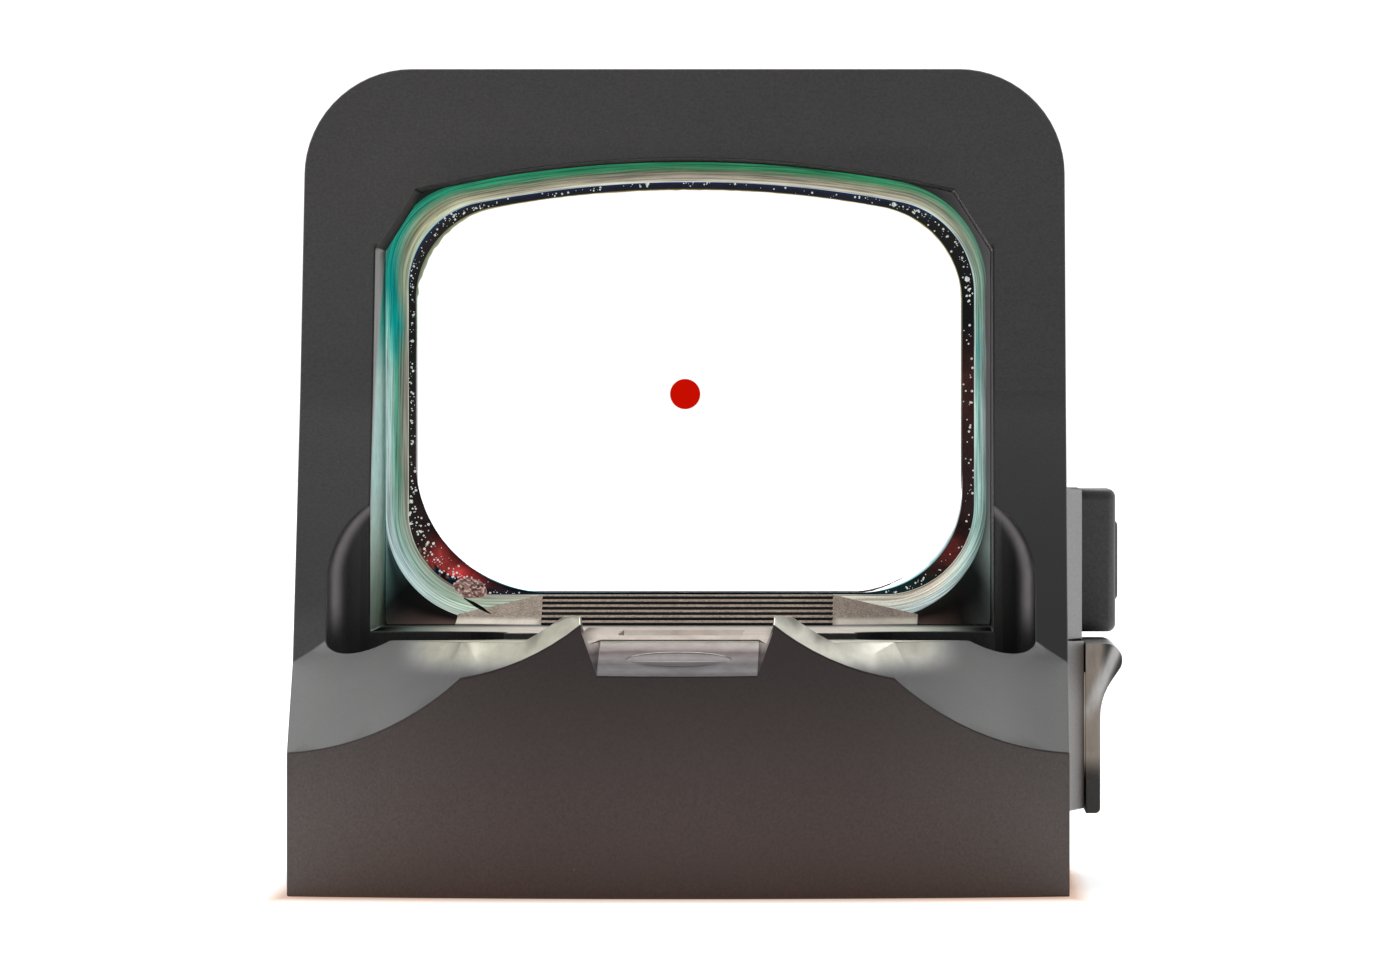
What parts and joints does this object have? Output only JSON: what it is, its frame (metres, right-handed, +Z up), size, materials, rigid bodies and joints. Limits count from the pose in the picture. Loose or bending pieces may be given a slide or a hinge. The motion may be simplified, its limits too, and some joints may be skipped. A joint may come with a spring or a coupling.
{
  "type": "red dot finder",
  "caption": "Compact open reflex red dot finder: one-piece hood and base, tilted-edge lens window, side battery drawer, button and slotted windage and elevation screws.",
  "frame": {"origin": "bottom face, midway between the two mounting screw holes", "axes": "+Y forward along the line of sight, away from the observer; +X to the observer's right; +Z up"},
  "size_m": [0.0258, 0.04, 0.0257],
  "materials": {
    "housing_anodised": "matt hard anodised",
    "trim_anodised": "matt hard anodised",
    "drawer_anodised": "satin anodised",
    "base_plate_aluminium": "satin anodised",
    "coated_glass": "dichroic coated, ground edge",
    "clear_glass": "polished",
    "lens_adhesive": "black epoxy with fine bubbles",
    "black_steel": "black oxide",
    "spring_steel": "bright",
    "cell_steel": "satin nickel plated",
    "contact_brass": "gold flashed",
    "seal_rubber": "matt",
    "button_rubber": "fine matt texture",
    "board_laminate": "solder resist",
    "chip_plastic": "moulded",
    "flex_film": "amber film",
    "carriage_plastic": "glass filled",
    "emitter_red": "clear red die"
  },
  "bodies": {
    "housing": {"housing": "housing_anodised", "lens": "coated_glass", "lens_bond": "lens_adhesive", "base_plate": "base_plate_aluminium", "base_gasket": "seal_rubber", "base_plate_screws": "black_steel", "circuit_board": "board_laminate", "controller_chip": "chip_plastic", "emitter_flex": "flex_film", "battery_contact_low": "contact_brass", "battery_contact_high": "contact_brass", "drawer_detent": "spring_steel", "button_bezel": "trim_anodised", "button_boot": "seal_rubber", "tactile_switch": "chip_plastic", "switch_dome": "spring_steel", "switch_flex": "flex_film", "emitter_window": "clear_glass", "windage_spring": "spring_steel"},
    "drawer": {"battery_drawer": "drawer_anodised", "drawer_seal": "seal_rubber", "coin_cell": "cell_steel"},
    "button": {"button_cap": "button_rubber"},
    "windage_carriage": {"windage_sled": "carriage_plastic", "elevation_spring": "spring_steel"},
    "emitter": {"emitter_holder": "carriage_plastic", "led_emitter": "emitter_red"},
    "elevation_adjuster": {"elevation_screw": "black_steel", "elevation_oring": "seal_rubber"},
    "windage_adjuster": {"windage_screw": "black_steel", "windage_oring": "seal_rubber"}
  },
  "joints": [
    {"name": "drawer_slide", "type": "slide", "parent": "housing", "child": "drawer", "axis": [1, 0, 0], "range_m": [0, 0.0185]},
    {"name": "button_press", "type": "slide", "parent": "housing", "child": "button", "axis": [-1, 0, 0], "range_m": [0, 0.0003], "stiffness_N_per_m": 1500},
    {"name": "elevation_turn", "type": "hinge", "parent": "housing", "child": "elevation_adjuster", "pos_m": [0, -0.0082, 0.0072], "axis": [0, 0, 1], "range_deg": [-360, 360]},
    {"name": "windage_turn", "type": "hinge", "parent": "housing", "child": "windage_adjuster", "pos_m": [0.0119, -0.0054, 0.0022], "axis": [1, 0, 0], "range_deg": [-360, 360]},
    {"name": "carriage_shift", "type": "slide", "parent": "housing", "child": "windage_carriage", "axis": [1, 0, 0], "range_m": [-0.0003, 0.0003]},
    {"name": "emitter_lift", "type": "slide", "parent": "windage_carriage", "child": "emitter", "axis": [0, 0, 1], "range_m": [-0.0003, 0.0003]}
  ],
  "couplings": [
    {"joint": "windage_turn", "follows": "carriage_shift", "rad_per_m": -20944},
    {"joint": "elevation_turn", "follows": "emitter_lift", "rad_per_m": -20944}
  ]
}
